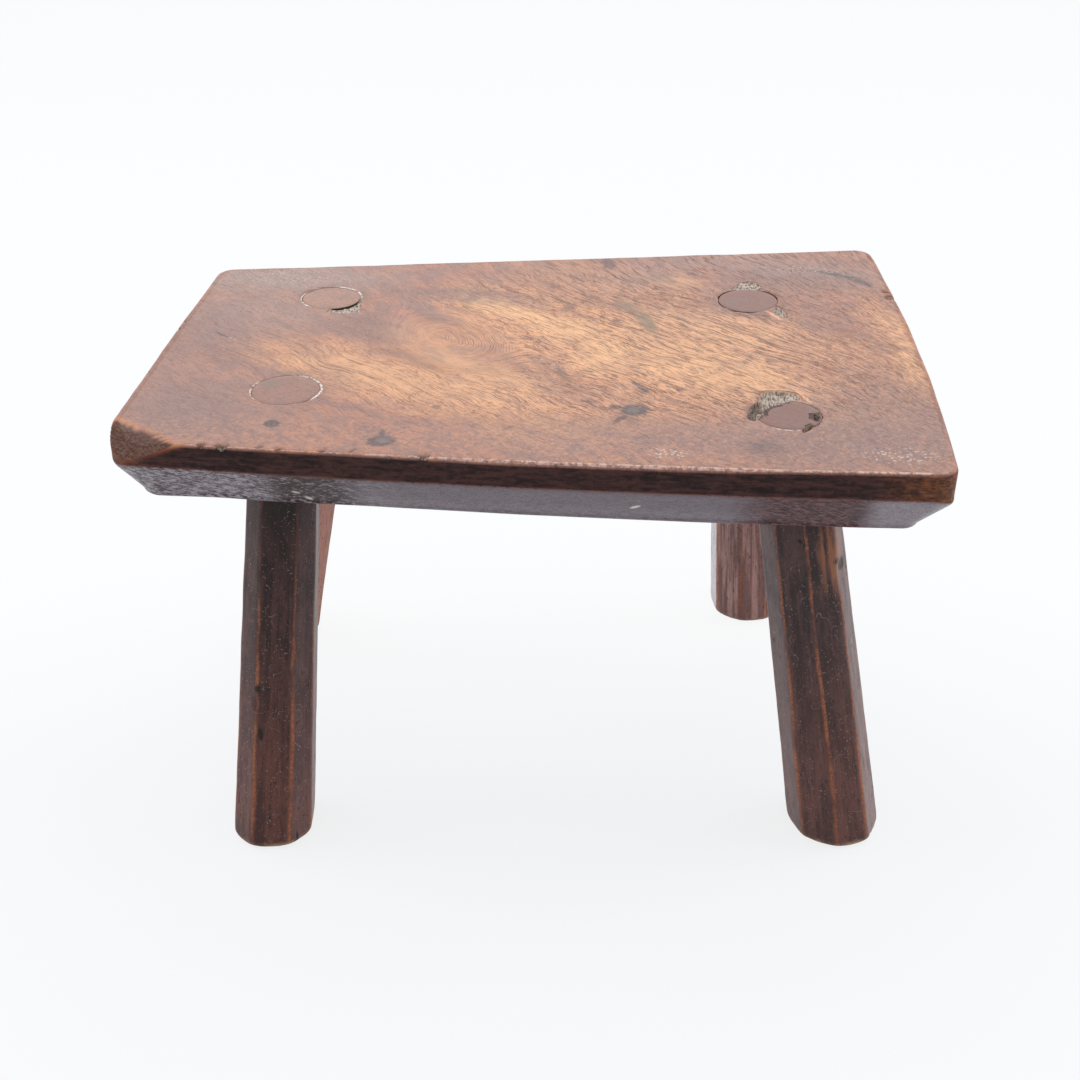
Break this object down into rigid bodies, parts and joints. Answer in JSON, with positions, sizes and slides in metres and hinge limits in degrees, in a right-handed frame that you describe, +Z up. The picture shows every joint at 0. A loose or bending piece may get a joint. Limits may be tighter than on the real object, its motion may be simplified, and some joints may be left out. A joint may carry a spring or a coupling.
{
  "type": "wooden stool",
  "caption": "Low country stool: a thick plank seat with bevelled under-edges on splayed, tapered, octagonal legs whose round tenons pass through the top.",
  "frame": {"origin": "on the floor, under the middle of the stool's box", "axes": "+X along the seat to the viewer's right, +Y to the back, +Z up"},
  "size_m": [0.3928, 0.2834, 0.226],
  "materials": {
    "seat_wood": "red-brown hardwood with open swirling grain, worn and waxed, darker on the edges",
    "leg_wood": "dark brown hardwood with straight grain, waxed, worn to orange-brown on the edges"
  },
  "bodies": {
    "root": {"seat": "seat_wood", "leg_front_left": "leg_wood", "leg_front_right": "leg_wood", "leg_back_left": "leg_wood", "leg_back_right": "leg_wood"}
  },
  "joints": []
}
